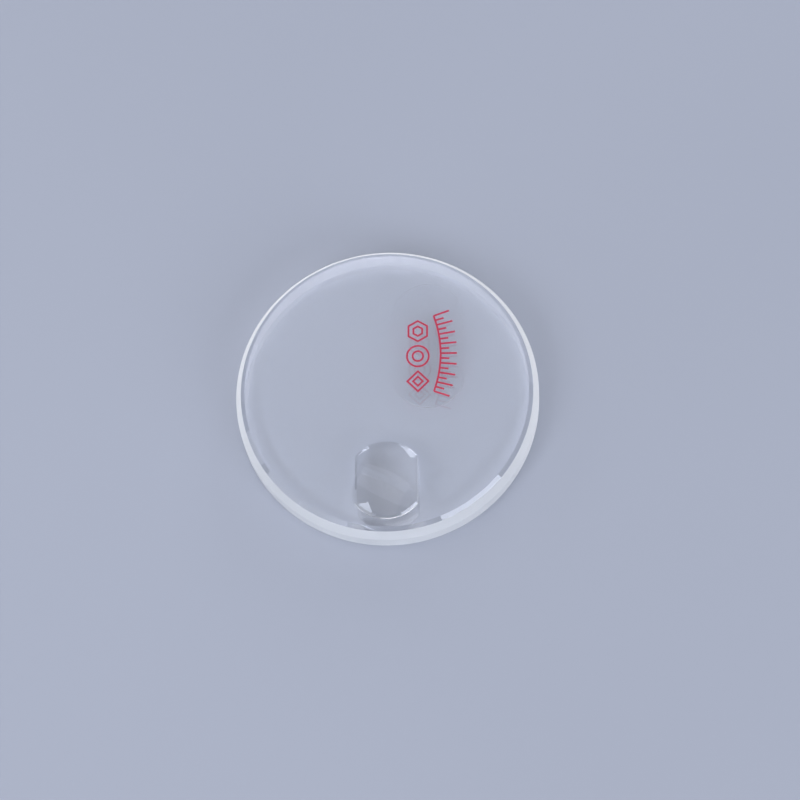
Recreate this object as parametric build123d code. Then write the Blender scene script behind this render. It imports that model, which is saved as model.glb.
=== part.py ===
from build123d import *
import os
from math import cos, degrees, radians, sin, sqrt

# A flat round watch crystal with a date magnifier and a protective label, in millimetres.
# The origin is the centre of the inner face, which seats in the watch case.
# +Z points out of the watch, +X to three o'clock, where the magnifier sits, and +Y to twelve.

# Disc
disc_diameter = 21.3
disc_thickness = 2.5
bevel_width = 0.27
bevel_drop = 0.27
shoulder_width = 0.40
shoulder_drop = 0.78
lower_chamfer = 0.10

# Date magnifier and its cement
lens_radius = 2.77
lens_width = 4.34
lens_edge = 0.20
lens_chamfer_width_share = 0.85
lens_chamfer_drop_share = 0.325
lens_crown = 0.75
lens_rim_gap = 0.57
cement_thickness = 0.02
cement_inset = 0.03

# Label: clear film on clear adhesive, peeled off after fitting
label_length = 9.16
label_width = 5.20
adhesive_thickness = 0.025
film_thickness = 0.05
label_place_shares = (-0.319, 0.294)

# Red print on the film
ink_thickness = 0.015
ink_stroke = 0.13
figure_size = 1.66
figure_pitch = 1.86
figure_inner_share = 0.52
figure_row_shares = (0.17, -0.28)
scale_radius = 8.40
scale_length = 5.70
scale_tick_count = 17
scale_tick_long = 1.15
scale_tick_short = 0.62
scale_place_shares = (0.13, 0.335)

# Places worked out from the sizes above
disc_radius = disc_diameter / 2
ground_radius = disc_radius - shoulder_width
top_radius = ground_radius - bevel_width
ground_height = disc_thickness - bevel_drop
wall_top = ground_height - shoulder_drop
lens_x = top_radius - lens_rim_gap - lens_radius
lens_base = disc_thickness + cement_thickness
label_x = label_place_shares[0] * top_radius
label_y = label_place_shares[1] * top_radius
film_base = disc_thickness + adhesive_thickness
ink_base = film_base + film_thickness


def crystal_disc():
    """Sapphire disc: flat faces, polished bevel, ground shoulder, ground wall and lower chamfer."""
    profile = Polyline(
        (0, 0),
        (disc_radius - lower_chamfer, 0),
        (disc_radius, lower_chamfer),
        (disc_radius, wall_top),
        (ground_radius, ground_height),
        (top_radius, disc_thickness),
        (0, disc_thickness),
        close=True,
    )
    return revolve(Plane.XZ * make_face(profile), Axis.Z)


def magnifier_outline(inset):
    """Round lens outline cut straight on both sides, drawn in by the inset."""
    disc = Circle(lens_radius - inset)
    band = Rectangle(2 * lens_radius, lens_width - 2 * inset)
    return disc & band


def magnifier_lens():
    """Plano-convex lens: a thin upright edge, a spherical crown and a fine chamfer between them."""
    crown_radius = (lens_radius**2 + lens_crown**2) / (2 * lens_crown)
    half_radius = lens_radius / 2
    half_height = lens_edge + lens_crown - crown_radius + sqrt(crown_radius**2 - half_radius**2)
    rim = (lens_radius, lens_edge)
    tip = (0, lens_edge + lens_crown)
    profile = Polyline(tip, (0, 0), (lens_radius, 0), rim)
    profile += ThreePointArc(rim, (half_radius, half_height), tip)
    round_lens = revolve(Plane.XZ * make_face(profile), Axis.Z)
    band = extrude(magnifier_outline(0), lens_edge + lens_crown)
    lens = round_lens & band
    crown = lens.faces().sort_by(Axis.Z)[-1]
    middle_height = lens_edge + lens_crown / 2
    rim_edges = [edge for edge in crown.edges() if edge.bounding_box().max.Z < middle_height]
    width, drop = lens_chamfer_width_share * lens_edge, lens_chamfer_drop_share * lens_edge
    return Pos(lens_x, 0, lens_base) * chamfer(rim_edges, width, drop, reference=crown)


def lens_cement():
    """Layer of clear optical cement that fills the joint under the lens."""
    layer = extrude(magnifier_outline(cement_inset), cement_thickness)
    return Pos(lens_x, 0, disc_thickness) * layer


def label_layer(base, thickness):
    """One layer of the label: an oval with straight sides and half-round ends."""
    layer = extrude(SlotOverall(label_length, label_width), thickness)
    return Pos(label_x, label_y, base) * layer


def outlined(shape, size, turn):
    """A closed figure drawn as a line of the ink's stroke: a circle, or a polygon of so many sides."""
    if shape == "circle":
        return Circle(size / 2) - Circle(size / 2 - ink_stroke)
    outer = RegularPolygon(size / 2, shape, major_radius=True, rotation=turn)
    inner_radius = size / 2 - ink_stroke / cos(radians(180 / shape))
    return outer - RegularPolygon(inner_radius, shape, major_radius=True, rotation=turn)


def print_figures():
    """Three plain figures in a row along X, each a closed line round a smaller one."""
    row_x = label_x + figure_row_shares[0] * label_length / 2
    row_y = label_y + figure_row_shares[1] * label_width / 2
    figures = []
    for place, shape, turn in ((-1, 6, 0), (0, "circle", 0), (1, 4, 0)):
        at = Pos(row_x + place * figure_pitch, row_y, ink_base)
        for size in (figure_size, figure_inner_share * figure_size):
            figures.append(at * extrude(outlined(shape, size, turn), ink_thickness))
    return Compound(children=figures)


def print_scale():
    """A bowed line with long and short ticks in turn on its outer side."""
    half_turn = degrees(scale_length / scale_radius) / 2
    ring = Circle(scale_radius + ink_stroke / 2) - Circle(scale_radius - ink_stroke / 2)
    far = 2 * scale_radius
    corner = (far * sin(radians(half_turn)), far * cos(radians(half_turn)))
    wedge = make_face(Polyline((0, 0), corner, (-corner[0], corner[1]), close=True))
    marks = ring & wedge
    for number in range(scale_tick_count):
        turn = half_turn * (1 - 2 * number / (scale_tick_count - 1))
        length = scale_tick_short if number % 2 else scale_tick_long
        start = Pos(0, scale_radius + length / 2)
        marks += Rot(0, 0, turn) * start * Rectangle(ink_stroke, length)
    row_x = label_x + scale_place_shares[0] * label_length / 2
    row_y = label_y + scale_place_shares[1] * label_width / 2
    return Pos(row_x, row_y - scale_radius, ink_base) * extrude(marks, ink_thickness)


parts = {
    "crystal_disc": crystal_disc(),
    "magnifier_lens": magnifier_lens(),
    "lens_cement": lens_cement(),
    "label_adhesive": label_layer(disc_thickness, adhesive_thickness),
    "label_film": label_layer(film_base, film_thickness),
    "print_figures": print_figures(),
    "print_scale": print_scale(),
}

os.makedirs("parts", exist_ok=True)
for name, shape in parts.items():
    export_step(shape, f"parts/{name}.step")
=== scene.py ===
from math import asin, cos, hypot, pi, radians, sin, sqrt, tan

import bmesh
import bpy
from mathutils import Matrix, Quaternion, Vector
from mathutils.geometry import delaunay_2d_cdt


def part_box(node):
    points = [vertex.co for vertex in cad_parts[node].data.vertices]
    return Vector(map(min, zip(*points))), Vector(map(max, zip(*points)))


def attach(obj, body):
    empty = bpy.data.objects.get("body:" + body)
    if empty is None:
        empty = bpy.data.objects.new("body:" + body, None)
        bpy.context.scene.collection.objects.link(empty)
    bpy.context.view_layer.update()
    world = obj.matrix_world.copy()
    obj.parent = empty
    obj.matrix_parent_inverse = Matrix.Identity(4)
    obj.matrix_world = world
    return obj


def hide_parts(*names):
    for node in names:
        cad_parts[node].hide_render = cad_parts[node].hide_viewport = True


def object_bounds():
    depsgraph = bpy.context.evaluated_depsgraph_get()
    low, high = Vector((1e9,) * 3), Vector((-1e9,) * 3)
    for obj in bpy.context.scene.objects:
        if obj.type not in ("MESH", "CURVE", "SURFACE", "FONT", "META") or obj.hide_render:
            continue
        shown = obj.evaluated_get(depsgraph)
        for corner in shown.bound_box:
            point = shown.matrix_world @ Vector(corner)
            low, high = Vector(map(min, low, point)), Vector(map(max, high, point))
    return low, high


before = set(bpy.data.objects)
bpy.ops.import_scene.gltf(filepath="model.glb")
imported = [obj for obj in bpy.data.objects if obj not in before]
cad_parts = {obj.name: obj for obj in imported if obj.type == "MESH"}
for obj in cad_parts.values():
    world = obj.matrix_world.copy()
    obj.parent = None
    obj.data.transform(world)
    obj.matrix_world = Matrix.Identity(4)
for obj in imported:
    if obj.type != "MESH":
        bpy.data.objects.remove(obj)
cad_low, cad_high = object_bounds()

# One millimetre, in the scene's metres
MM = 0.001

# How finely round things are divided
DISC_SEGMENTS = 288
LENS_RINGS = 40
LENS_ARC_STEPS = 72
LENS_SIDE_STEPS = 24
LABEL_ARC_STEP = radians(1.5)

# An edge where the surface turns by more than this is sharp
SHARP_DISC_EDGE = radians(10)
SHARP_LENS_EDGE = radians(12)

# Points closer than this are one: in the turned rim, in the closed disc and in the flat fill, in metres
RIM_MERGE = 0.001 * MM
DISC_MERGE = 0.0002 * MM
FILL_MERGE = 1e-9

# The flat fill keeps only what lies inside its edge
FILL_INSIDE = 1

# Vertices of the disc beyond this share of its reach belong to its rim
RIM_SHARE = 0.5

# The magnifier's upright edge under its crown, and the width and drop of the chamfer between them
LENS_EDGE = 0.20 * MM
LENS_CHAMFER = 0.15 * MM

# How deep the print bites into the film, so that its underside shows red through the sapphire
PRINT_BITE = 0.0005 * MM

# Places of the finishes in the material lists of the disc, the magnifier and the flat layers
POLISHED, GROUND, JOINED = 0, 1, 2
LENS_POLISHED, LENS_JOINED = 0, 1
LAYER_SIDE, LAYER_TOP, LAYER_BOTTOM = 0, 1, 2

# The photograph's camera: its distance and tilt, and the scale at the disc's inner face
CAMERA_DISTANCE = 220 * MM
CAMERA_TILT = radians(18.84)
CAMERA_AZIMUTH = radians(9.1)
CAMERA_CLIP = (0.01, 20)
PIXELS_PER_MM = 14.15
PICTURE_PIXELS = 800
PICTURE_CENTRE = (400.0, 400.0)
ORIGIN_PIXEL = (388.4, 400.9)
SENSOR = 36.0

# Refractive indexes
SAPPHIRE_INDEX = 1.77
FILM_INDEX = 1.70

# Colours, as linear red, green and blue
FLOOR_COLOUR = (0.437, 0.457, 0.517)
SAPPHIRE_TINT = (0.985, 0.99, 1.0)
FILM_TINT = (0.99, 0.99, 1.0)
CLEAR = (1, 1, 1)
JOINT_HAZE = (0.9, 0.9, 0.9)
RED_INK = (0.51, 0.011, 0.047)
THIN_INK = (0.612, 0.0275, 0.0846)
GROUND_WHITE = (0.58, 0.59, 0.60)
LIT_WHITE = (0.97, 0.98, 1.0)
STUDIO_WHITE = (0.90, 0.95, 1.07)
BACK_WALL_WHITE = (1.03, 1.0, 0.97)

# Patterns in the finishes: repeats to the metre, and detail
HANDLING_MARKS = (900.0, 3.0)
GRINDING_GRAIN = (16000.0, 2.0)
GRINDING_CLOUDS = (500.0, 3.0)
WHEEL_RINGS = (9000.0, 2.0)
JOINT_CLOUDS = (700.0, 2.0)
FILM_WAVES = (450.0, 1.0)
FILM_MARKS = (1500.0, 3.0)
INK_COVER = (9000.0, 3.0)
FLOOR_CLOUDS = (14.0, 2.0)

# What the patterns turn into: pattern from and to, then value from and to, or 0 to 1 where it isn't given
POLISHED_ROUGHNESS = (0.45, 0.75, 0.0, 0.035)
GROUND_ROUGHNESS = (0.3, 0.7, 0.8, 1.0)
JOINT_HAZE_SHARE = (0.5, 0.8, 0.0, 0.01)
FILM_ROUGHNESS = (0.4, 0.8, 0.0, 0.01)
INK_THINNING = (0.35, 0.7)
INK_ROUGHNESS = (0.3, 0.7, 0.4, 0.6)
FLOOR_MIXING = (0.3, 0.7)

# Bumps, the rings' share beside the grain, the light that passes the ground finish, and the floor's change
GROUND_BUMP = {"Strength": 0.35, "Distance": 0.004 * MM}
FILM_BUMP = {"Strength": 0.05, "Distance": 0.002 * MM}
RING_SHARE = 0.5
GROUND_CLEARNESS = 0.25
FLOOR_CHANGE = 0.015

# Soft boxes as seen from the disc: azimuth from +X to +Y, elevation, width, height and turn in degrees,
# then brightness, and colour where it isn't the studio's
LAMP_DISTANCE = 0.5
ROOM_BRIGHTNESS = 0.475
SOFT_BOXES = {
    "overhead_strip": (189, 73, 18, 74, 54, 0.54),
    "overhead_front_panel": (-58, 69.5, 44, 74, -59, 0.36, BACK_WALL_WHITE),
    "front_left_panel": (-46, 37, 30, 25, -31, 3.7),
    "front_right_panel": (45, 14, 36, 18, 0, 4.2),
    "front_right_upper_panel": (40, 30, 30, 12, 0, 3.7),
    "back_right_panel": (156, 16, 30, 17, -38, 3.0),
    "back_left_strip": (212, 17.5, 18, 2.5, 0, 4.4),
    "left_upper_panel": (255, 25, 30, 16, 0, 1.4),
    "left_panel_low": (267, 5, 34, 11, 0, 0.95),
    "left_panel_middle": (297, 12, 26, 12, 0, 1.35),
    "left_panel_high": (323, 16, 26, 12, 0, 1.35),
}

# A low wall of light round the disc, for its ground edge alone: azimuth, width, brightness and colour
LOW_WALL_HEIGHT = 1
LOW_WALL = (
    (105, 24, 38.0, BACK_WALL_WHITE),
    (133, 20, 275.0, BACK_WALL_WHITE),
    (222, 20, 340.0, BACK_WALL_WHITE),
    (254, 28, 22.0, BACK_WALL_WHITE),
    (-30, 40, 12.0, STUDIO_WHITE),
    (20, 50, 36.0, STUDIO_WHITE),
)

# How often light may turn before it is given up. Inside the sapphire it is turned back many times before
# it comes out, and with fewer turns the edge and the magnifier go dark. With many more, false bright arcs
# show below the magnifier.
LIGHT_TURNS = 9
DIFFUSE_TURNS = 8

# The floor lies a hair below the disc
FLOOR_GAP = 0.02 * MM
FLOOR_SIZE = 3.0


def rgba(colour):
    """A colour with full cover."""
    return (*colour, 1)


class Link:
    """A value in a node tree. Adding and multiplying links adds Math nodes."""

    def __init__(self, tree, socket):
        self.tree = tree
        self.socket = socket

    def maths(self, operation, first, second):
        """A Math node on two values."""
        node = self.tree.nodes.new("ShaderNodeMath")
        node.operation = operation
        feed(self.tree, node.inputs[0], first)
        feed(self.tree, node.inputs[1], second)
        return Link(self.tree, node.outputs[0])

    def __add__(self, other):
        return self.maths("ADD", self, other)

    def __radd__(self, other):
        return self.maths("ADD", other, self)

    def __mul__(self, other):
        return self.maths("MULTIPLY", self, other)

    def __rmul__(self, other):
        return self.maths("MULTIPLY", other, self)


def feed(tree, socket, value):
    """Puts a link or a plain value into a socket."""
    if isinstance(value, Link):
        tree.links.new(value.socket, socket)
    else:
        socket.default_value = value


class Shading:
    """The node tree of a material or of the world."""

    def __init__(self, owner):
        owner.use_nodes = True
        self.tree = owner.node_tree
        self.tree.nodes.clear()

    def node(self, kind, settings=None, output=0, **inputs):
        """Adds a node with its settings and inputs, and gives one of its outputs.

        An input goes by its label, with _ for a space, or by i and its number.
        """
        made = self.tree.nodes.new(kind)
        for name, value in (settings or {}).items():
            setattr(made, name, value)
        for name, value in inputs.items():
            key = int(name[1:]) if name[0] == "i" and name[1:].isdigit() else name.replace("_", " ")
            feed(self.tree, made.inputs[key], value)
        return Link(self.tree, made.outputs[output])

    def spot(self):
        """Object coordinates."""
        return self.node("ShaderNodeTexCoord", output="Object")

    def noise(self, spot, pattern):
        """A noise texture at that spot, of that pattern's scale and detail."""
        scale, detail = pattern
        return self.node("ShaderNodeTexNoise", Vector=spot, Scale=scale, Detail=detail)

    def ramp(self, value, low, high, start=0.0, end=1.0):
        """Maps a stretch of values to another, eased at both ends, and held beyond them."""
        return self.node(
            "ShaderNodeMapRange",
            {"interpolation_type": "SMOOTHSTEP", "clamp": True},
            Value=value, From_Min=low, From_Max=high, To_Min=start, To_Max=end,
        )

    def blend(self, share, first, second):
        """The first colour where the share is 0, and the second where it is 1."""
        return self.node(
            "ShaderNodeMix", {"data_type": "RGBA"}, output=2, i0=share, i6=rgba(first), i7=rgba(second)
        )

    def finish(self, shader, kind="ShaderNodeOutputMaterial"):
        """Gives the tree its output."""
        out = self.tree.nodes.new(kind)
        self.tree.links.new(shader.socket, out.inputs["Surface"])


def shaded(name):
    """A new material and its shading."""
    material = bpy.data.materials.new(name)
    return material, Shading(material)


def polished_sapphire():
    """Clear sapphire with a faint haze of handling."""
    material, s = shaded("polished_sapphire")
    marks = s.noise(s.spot(), HANDLING_MARKS)
    s.finish(s.node(
        "ShaderNodeBsdfPrincipled", Base_Color=rgba(SAPPHIRE_TINT), IOR=SAPPHIRE_INDEX,
        Roughness=s.ramp(marks, *POLISHED_ROUGHNESS), Transmission_Weight=1.0,
    ))
    return material


def ground_sapphire():
    """Sapphire left white by grinding: fine grain, faint rings of the wheel and a milky body.

    Light that reaches it from inside the disc is spread outwards.
    """
    material, s = shaded("ground_sapphire")
    spot = s.spot()
    height = s.node("ShaderNodeSeparateXYZ", output="Z", Vector=spot)
    grain = s.noise(spot, GRINDING_GRAIN)
    cloud = s.noise(spot, GRINDING_CLOUDS)
    scale, detail = WHEEL_RINGS
    rings = s.node("ShaderNodeTexNoise", {"noise_dimensions": "1D"}, W=height, Scale=scale, Detail=detail)
    bump = s.node("ShaderNodeBump", Height=grain + RING_SHARE * rings, **GROUND_BUMP)
    outside = s.node(
        "ShaderNodeBsdfPrincipled", Base_Color=rgba(GROUND_WHITE), Roughness=s.ramp(cloud, *GROUND_ROUGHNESS),
        IOR=SAPPHIRE_INDEX, Transmission_Weight=GROUND_CLEARNESS, Normal=bump,
    )
    inside_light = s.node("ShaderNodeBsdfTranslucent", Color=rgba(LIT_WHITE), Normal=bump)
    from_inside = s.node("ShaderNodeNewGeometry", output="Backfacing")
    s.finish(s.node("ShaderNodeMixShader", i0=from_inside, i1=outside, i2=inside_light))
    return material


def cemented_joint():
    """The face where two clear pieces are joined: light passes straight on, but for a trace of haze."""
    material, s = shaded("cemented_joint")
    cloud = s.noise(s.spot(), JOINT_CLOUDS)
    clear = s.node("ShaderNodeBsdfTransparent", Color=rgba(CLEAR))
    haze = s.node("ShaderNodeBsdfDiffuse", Color=rgba(JOINT_HAZE))
    s.finish(s.node("ShaderNodeMixShader", i0=s.ramp(cloud, *JOINT_HAZE_SHARE), i1=clear, i2=haze))
    return material


def clear_film():
    """Clear label film, a little wavy."""
    material, s = shaded("clear_film")
    spot = s.spot()
    bump = s.node("ShaderNodeBump", Height=s.noise(spot, FILM_WAVES), **FILM_BUMP)
    marks = s.noise(spot, FILM_MARKS)
    s.finish(s.node(
        "ShaderNodeBsdfPrincipled", Base_Color=rgba(FILM_TINT), IOR=FILM_INDEX,
        Roughness=s.ramp(marks, *FILM_ROUGHNESS), Transmission_Weight=1.0, Normal=bump,
    ))
    return material


def red_ink():
    """Opaque red screen print, a little thinner here and there."""
    material, s = shaded("red_ink")
    cover = s.noise(s.spot(), INK_COVER)
    tone = s.blend(s.ramp(cover, *INK_THINNING), RED_INK, THIN_INK)
    s.finish(s.node("ShaderNodeBsdfPrincipled", Base_Color=tone, Roughness=s.ramp(cover, *INK_ROUGHNESS)))
    return material


def matte_floor():
    """Plain pale floor, with a hardly visible change of tone."""
    material, s = shaded("matte_floor")
    cloud = s.noise(s.spot(), FLOOR_CLOUDS)
    darker = [(1 - FLOOR_CHANGE) * c for c in FLOOR_COLOUR]
    lighter = [(1 + FLOOR_CHANGE) * c for c in FLOOR_COLOUR]
    s.finish(s.node("ShaderNodeBsdfDiffuse", Color=s.blend(s.ramp(cloud, *FLOOR_MIXING), darker, lighter)))
    return material


def add_piece(name, mesh, materials):
    """Puts a mesh with its materials into the scene."""
    piece = bpy.data.objects.new(name, mesh)
    bpy.context.scene.collection.objects.link(piece)
    for material in materials:
        mesh.materials.append(material)
    return piece


def cad_rings(node):
    """The disc's profile as (radius, height) from its lower edge to its upper, read off the node."""
    found = {}
    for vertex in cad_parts[node].data.vertices:
        x, y, z = vertex.co
        if hypot(x, y) > RIM_SHARE * cad_high.x:
            found[round(z / MM, 3)] = hypot(x, y)
    return [(found[z], z * MM) for z in sorted(found)]


def revolve_tree(rings, material):
    """A node tree that turns a grid into the rings of a profile, with inputs for their sizes."""
    tree = bpy.data.node_groups.new("turned_rim", "GeometryNodeTree")
    face = tree.interface
    face.new_socket("Geometry", in_out="OUTPUT", socket_type="NodeSocketGeometry")
    face.new_socket("Segments", in_out="INPUT", socket_type="NodeSocketInt")
    for number in range(len(rings)):
        face.new_socket(f"Radius {number}", in_out="INPUT", socket_type="NodeSocketFloat")
        face.new_socket(f"Height {number}", in_out="INPUT", socket_type="NodeSocketFloat")
    new, join = tree.nodes.new, tree.links.new
    given, out = new("NodeGroupInput"), new("NodeGroupOutput")

    def maths(operation, *values):
        node = new("ShaderNodeMath")
        node.operation = operation
        for socket, value in zip(node.inputs, values):
            if isinstance(value, bpy.types.NodeSocket):
                join(value, socket)
            else:
                socket.default_value = value
        return node.outputs[0]

    # A grid of size 1: along X it becomes the turn, and each row along Y one ring
    grid = new("GeometryNodeMeshGrid")
    grid.inputs["Size X"].default_value = 1.0
    grid.inputs["Size Y"].default_value = 1.0
    join(maths("ADD", given.outputs["Segments"], 1.0), grid.inputs["Vertices X"])
    grid.inputs["Vertices Y"].default_value = len(rings)
    place = new("GeometryNodeInputPosition")
    parts = new("ShaderNodeSeparateXYZ")
    join(place.outputs[0], parts.inputs[0])
    turn = maths("MULTIPLY", maths("ADD", parts.outputs["X"], 0.5), 2 * pi)
    steps = maths("MULTIPLY", maths("ADD", parts.outputs["Y"], 0.5), float(len(rings) - 1))
    row = maths("ROUND", steps)
    picked = {}
    for size in ("Radius", "Height"):
        switch = new("GeometryNodeIndexSwitch")
        switch.data_type = "FLOAT"
        while len(switch.index_switch_items) < len(rings):
            switch.index_switch_items.new()
        join(row, switch.inputs[0])
        for number in range(len(rings)):
            join(given.outputs[f"{size} {number}"], switch.inputs[number + 1])
        picked[size] = switch.outputs[0]
    spot = new("ShaderNodeCombineXYZ")
    join(maths("MULTIPLY", maths("COSINE", turn), picked["Radius"]), spot.inputs["X"])
    join(maths("MULTIPLY", maths("SINE", turn), picked["Radius"]), spot.inputs["Y"])
    join(picked["Height"], spot.inputs["Z"])
    move = new("GeometryNodeSetPosition")
    join(grid.outputs["Mesh"], move.inputs["Geometry"])
    join(spot.outputs[0], move.inputs["Position"])
    merge = new("GeometryNodeMergeByDistance")
    merge.inputs["Distance"].default_value = RIM_MERGE
    join(move.outputs[0], merge.inputs[0])
    real = new("GeometryNodeRealizeInstances")
    join(merge.outputs[0], real.inputs[0])
    finish = new("GeometryNodeSetMaterial")
    finish.inputs["Material"].default_value = material
    join(real.outputs[0], finish.inputs[0])
    join(finish.outputs[0], out.inputs[0])
    return tree


def mesh_from_tree(name, tree, values):
    """Runs a node tree on an empty object and gives the result as a plain mesh."""
    holder = bpy.data.objects.new(name, bpy.data.meshes.new(name))
    bpy.context.scene.collection.objects.link(holder)
    modifier = holder.modifiers.new("rule", "NODES")
    modifier.node_group = tree
    for socket in tree.interface.items_tree:
        if socket.in_out == "INPUT":
            modifier[socket.identifier] = values[socket.name]
    bpy.context.view_layer.update()
    graph = bpy.context.evaluated_depsgraph_get()
    mesh = bpy.data.meshes.new_from_object(holder.evaluated_get(graph), depsgraph=graph)
    bpy.data.objects.remove(holder)
    return mesh


def lens_outline(centre, radius, half_width):
    """The magnifier's outline: two arcs joined by straight sides, anticlockwise."""
    corner = asin(half_width / radius)
    turns = [-corner + 2 * corner * n / LENS_ARC_STEPS for n in range(LENS_ARC_STEPS + 1)]
    right = [(radius * cos(t), radius * sin(t)) for t in turns]
    reach = radius * cos(corner)
    upper = [(reach - 2 * reach * n / LENS_SIDE_STEPS, half_width) for n in range(1, LENS_SIDE_STEPS)]
    left = [(-x, -y) for x, y in right]
    lower = [(-x, -y) for x, y in upper]
    return [(centre.x + x, centre.y + y) for x, y in right + upper + left + lower]


def slot_outline(low, high):
    """The label's outline: straight sides along X and half-round ends, anticlockwise."""
    radius = (high.y - low.y) / 2
    middle_y = (high.y + low.y) / 2
    steps = round(pi / LABEL_ARC_STEP)
    turns = [-pi / 2 + pi * n / steps for n in range(steps + 1)]
    right = [(high.x - radius + radius * cos(t), middle_y + radius * sin(t)) for t in turns]
    left = [(low.x + radius - radius * cos(t), middle_y - radius * sin(t)) for t in turns]
    return right + left


def inside(point, outline):
    """True if the point lies in the closed outline."""
    x, y = point
    odd = False
    for (x0, y0), (x1, y1) in zip(outline, outline[1:] + outline[:1]):
        if (y0 > y) != (y1 > y) and x < x0 + (y - y0) * (x1 - x0) / (y1 - y0):
            odd = not odd
    return odd


def fill_flat(bm, edge, height, seats):
    """Fills a flat face of the disc out to its edge, with a joined finish in the seats of other pieces."""
    points, faces = [], []
    for outline in [edge, *seats]:
        start = len(points)
        points += [Vector(p) for p in outline]
        faces.append(list(range(start, len(points))))
    spots, _, triangles, _, _, _ = delaunay_2d_cdt(points, [], faces, FILL_INSIDE, FILL_MERGE)
    verts = [bm.verts.new((p.x, p.y, height)) for p in spots]
    for triangle in triangles:
        face = bm.faces.new([verts[n] for n in triangle])
        centre = face.calc_center_median()
        face.material_index = JOINED if any(inside(centre.xy, s) for s in seats) else POLISHED
        face.smooth = False


def sharpen(bm, angle):
    """Marks the edges sharp where the surface turns by more than the angle."""
    for edge in bm.edges:
        if len(edge.link_faces) == 2 and edge.calc_face_angle() > angle:
            edge.smooth = False


def closed_piece(name, bm, materials):
    """Turns a finished bmesh into a piece of the scene."""
    mesh = bpy.data.meshes.new(name)
    bm.to_mesh(mesh)
    bm.free()
    return add_piece(name, mesh, materials)


def make_disc(polished, ground, joint, seats):
    """The disc: turned rim, flat top with the seats of what is joined to it, flat inner face."""
    rings = cad_rings("crystal_disc")
    values = {"Segments": DISC_SEGMENTS}
    for number, (radius, height) in enumerate(rings):
        values[f"Radius {number}"] = radius
        values[f"Height {number}"] = height
    bm = bmesh.new()
    bm.from_mesh(mesh_from_tree("disc_rim", revolve_tree(rings, ground), values))
    bm.normal_update()
    bevel_foot = rings[-2][1]
    for face in bm.faces:
        face.smooth = True
        face.material_index = POLISHED if face.calc_center_median().z > bevel_foot else GROUND
    sharpen(bm, SHARP_DISC_EDGE)
    turn = 2 * pi / DISC_SEGMENTS
    for (radius, height), joined in ((rings[-1], seats), (rings[0], [])):
        edge = [(radius * cos(n * turn), radius * sin(n * turn)) for n in range(DISC_SEGMENTS)]
        fill_flat(bm, edge, height, joined)
    bmesh.ops.remove_doubles(bm, verts=bm.verts, dist=DISC_MERGE)
    bmesh.ops.recalc_face_normals(bm, faces=bm.faces)
    return closed_piece("sapphire_disc", bm, [polished, ground, joint])


def make_lens(polished, joint):
    """The magnifier: spherical crown, chamfer at 45 degrees, upright edge and flat joined base."""
    low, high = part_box("magnifier_lens")
    centre = (low + high) / 2
    radius, half_width = (high.x - low.x) / 2, (high.y - low.y) / 2
    crown = high.z - low.z - LENS_EDGE
    sphere = (radius**2 + crown**2) / (2 * crown)
    outline = lens_outline(centre, radius, half_width)
    inner_outline = lens_outline(centre, radius - LENS_CHAMFER, half_width - LENS_CHAMFER)
    bm = bmesh.new()

    def crown_height(x, y):
        away = (x - centre.x) ** 2 + (y - centre.y) ** 2
        return high.z - sphere + sqrt(sphere**2 - away)

    rings = []
    for number in range(1, LENS_RINGS + 1):
        share = sin(number / LENS_RINGS * pi / 2)
        spots = [
            (centre.x + share * (x - centre.x), centre.y + share * (y - centre.y))
            for x, y in inner_outline
        ]
        rings.append([bm.verts.new((x, y, crown_height(x, y))) for x, y in spots])
    tip = bm.verts.new((centre.x, centre.y, high.z))
    shoulder = [
        bm.verts.new((x, y, crown_height(*inner) - LENS_CHAMFER))
        for (x, y), inner in zip(outline, inner_outline)
    ]
    base = [bm.verts.new((x, y, low.z)) for x, y in outline]
    count = len(outline)
    for n in range(count):
        after = (n + 1) % count
        bm.faces.new((tip, rings[0][n], rings[0][after])).smooth = True
        for inner, outer in zip(rings, rings[1:]):
            bm.faces.new((inner[n], outer[n], outer[after], inner[after])).smooth = True
        bm.faces.new((rings[-1][n], shoulder[n], shoulder[after], rings[-1][after])).smooth = True
        bm.faces.new((shoulder[n], base[n], base[after], shoulder[after])).smooth = True
    bottom = bm.faces.new(list(reversed(base)))
    bottom.material_index = LENS_JOINED
    bm.normal_update()
    sharpen(bm, SHARP_LENS_EDGE)
    return closed_piece("magnifier_glass", bm, [polished, joint])


def make_layer(name, outline, base, top, side, upper, lower):
    """A flat layer with the outline, its side, top and bottom faces each with a material of its own."""
    bm = bmesh.new()
    ups = [bm.verts.new((x, y, top)) for x, y in outline]
    downs = [bm.verts.new((x, y, base)) for x, y in outline]
    bm.faces.new(ups).material_index = LAYER_TOP
    bm.faces.new(list(reversed(downs))).material_index = LAYER_BOTTOM
    for n in range(len(outline)):
        after = (n + 1) % len(outline)
        face = bm.faces.new((ups[n], downs[n], downs[after], ups[after]))
        face.smooth = True
        face.material_index = LAYER_SIDE
    return closed_piece(name, bm, [side, upper, lower])


def soft_box(name, azimuth, elevation, width, height, turn, brightness, colour=STUDIO_WHITE):
    """A rectangular lamp that faces the disc and looks as large and bright as said."""
    a, e = radians(azimuth), radians(elevation)
    towards = Vector((cos(a) * cos(e), sin(a) * cos(e), sin(e)))
    lamp = bpy.data.lights.new(name, "AREA")
    lamp.shape = "RECTANGLE"
    lamp.size = 2 * LAMP_DISTANCE * tan(radians(width) / 2)
    lamp.size_y = 2 * LAMP_DISTANCE * tan(radians(height) / 2)
    lamp.energy = brightness * pi * lamp.size * lamp.size_y
    lamp.color = colour
    holder = bpy.data.objects.new(name, lamp)
    bpy.context.scene.collection.objects.link(holder)
    holder.location = towards * LAMP_DISTANCE
    holder.rotation_mode = "QUATERNION"
    holder.rotation_quaternion = towards.to_track_quat("Z", "Y") @ Quaternion((0, 0, 1), radians(turn))
    holder.visible_camera = False
    return holder


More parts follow.
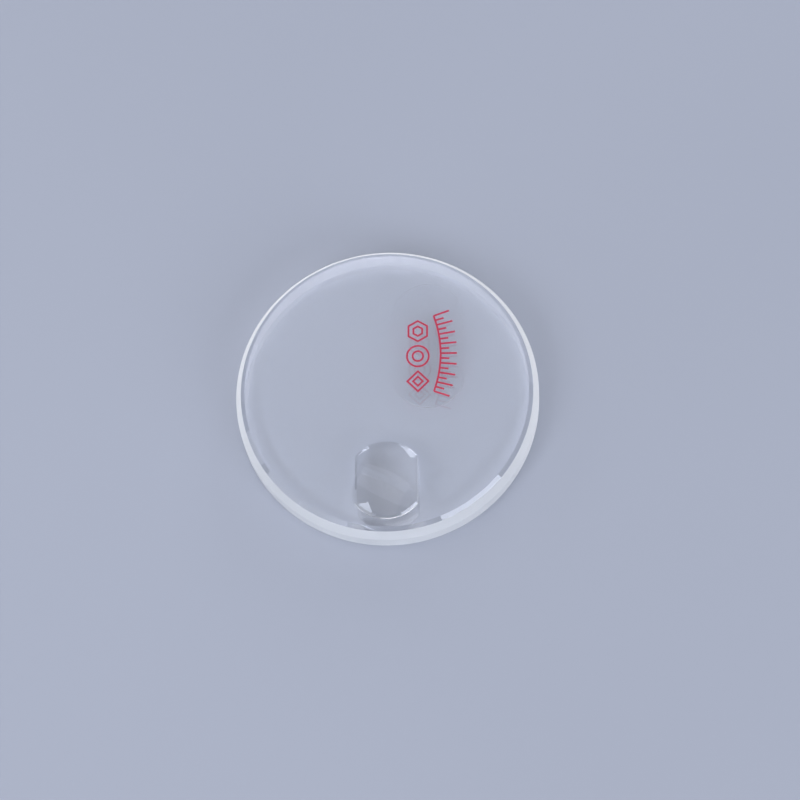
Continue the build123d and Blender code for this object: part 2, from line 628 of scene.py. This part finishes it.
def make_lamps():
    """The soft boxes, and the low wall, which doesn't show in or through the sapphire."""
    for name, row in SOFT_BOXES.items():
        soft_box(name, *row)
    middle = LOW_WALL_HEIGHT / 2
    for number, (azimuth, width, brightness, colour) in enumerate(LOW_WALL):
        name = f"low_wall_{number}"
        stretch = soft_box(name, azimuth, middle, width, LOW_WALL_HEIGHT, 0, brightness, colour)
        stretch.visible_transmission = False
        stretch.visible_glossy = False


def make_camera():
    """The photograph's view: +X points down in the picture and +Y to the right."""
    towards = Vector((
        sin(CAMERA_TILT) * cos(CAMERA_AZIMUTH),
        sin(CAMERA_TILT) * sin(CAMERA_AZIMUTH),
        cos(CAMERA_TILT),
    ))
    right = Vector((-1, 0, 0)).cross(towards).normalized()
    up = towards.cross(right)
    data = bpy.data.cameras.new("camera")
    data.sensor_width = SENSOR
    data.lens = SENSOR * PIXELS_PER_MM * CAMERA_DISTANCE / MM / PICTURE_PIXELS
    data.shift_x = (PICTURE_CENTRE[0] - ORIGIN_PIXEL[0]) / PICTURE_PIXELS
    data.shift_y = (ORIGIN_PIXEL[1] - PICTURE_CENTRE[1]) / PICTURE_PIXELS
    data.clip_start, data.clip_end = CAMERA_CLIP
    camera = bpy.data.objects.new("camera", data)
    bpy.context.scene.collection.objects.link(camera)
    turn = Matrix((right, up, towards)).transposed()
    camera.matrix_world = Matrix.Translation(towards * CAMERA_DISTANCE) @ turn.to_4x4()
    bpy.context.scene.camera = camera


def make_floor():
    """A plain square floor just below the disc."""
    mesh = bpy.data.meshes.new("floor")
    half = FLOOR_SIZE / 2
    corners = [(-half, -half), (half, -half), (half, half), (-half, half)]
    mesh.from_pydata([(x, y, -FLOOR_GAP) for x, y in corners], [], [(0, 1, 2, 3)])
    add_piece("floor", mesh, [matte_floor()])


def make_world():
    """Even light from the whole room."""
    world = bpy.data.worlds.new("room")
    s = Shading(world)
    light = s.node("ShaderNodeBackground", Color=rgba(STUDIO_WHITE), Strength=ROOM_BRIGHTNESS)
    s.finish(light, "ShaderNodeOutputWorld")
    bpy.context.scene.world = world


# Without this, glass behind a blurry bounce is blurred too, and the floor under the disc goes dark
bpy.context.scene.cycles.blur_glossy = 0.0
bpy.context.scene.cycles.max_bounces = LIGHT_TURNS
bpy.context.scene.cycles.glossy_bounces = LIGHT_TURNS
bpy.context.scene.cycles.transmission_bounces = LIGHT_TURNS
bpy.context.scene.cycles.diffuse_bounces = DIFFUSE_TURNS
make_camera()
make_floor()
make_world()
make_lamps()

polished = polished_sapphire()
ground = ground_sapphire()
joint = cemented_joint()
film = clear_film()
ink = red_ink()

lens_low, lens_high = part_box("magnifier_lens")
lens_middle = (lens_low + lens_high) / 2
lens_reach, lens_half_width = (lens_high.x - lens_low.x) / 2, (lens_high.y - lens_low.y) / 2
lens_seat = lens_outline(lens_middle, lens_reach, lens_half_width)
film_low, film_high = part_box("label_film")
film_top = film_high.z + PRINT_BITE
label_seat = slot_outline(film_low, film_high)

disc = make_disc(polished, ground, joint, [lens_seat, label_seat])
lens = make_lens(polished, joint)
low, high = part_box("lens_cement")
cement = make_layer("lens_cement_layer", lens_seat, low.z, high.z, polished, joint, joint)
low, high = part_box("label_adhesive")
glue = make_layer("label_adhesive_layer", label_seat, low.z, high.z, joint, joint, joint)
label = make_layer("label_clear_film", label_seat, film_low.z, film_top, film, film, joint)
for piece, node, slot in (
    (disc, "crystal_disc", "sapphire"),
    (lens, "magnifier_lens", "sapphire"),
    (cement, "lens_cement", "clear_cement"),
    (glue, "label_adhesive", "clear_adhesive"),
    (label, "label_film", "clear_film"),
):
    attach(piece, "root")
    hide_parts(node)
for node in ("print_figures", "print_scale"):
    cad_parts[node].data.materials.clear()
    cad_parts[node].data.materials.append(ink)

bpy.context.scene.view_settings.view_transform = "Standard"
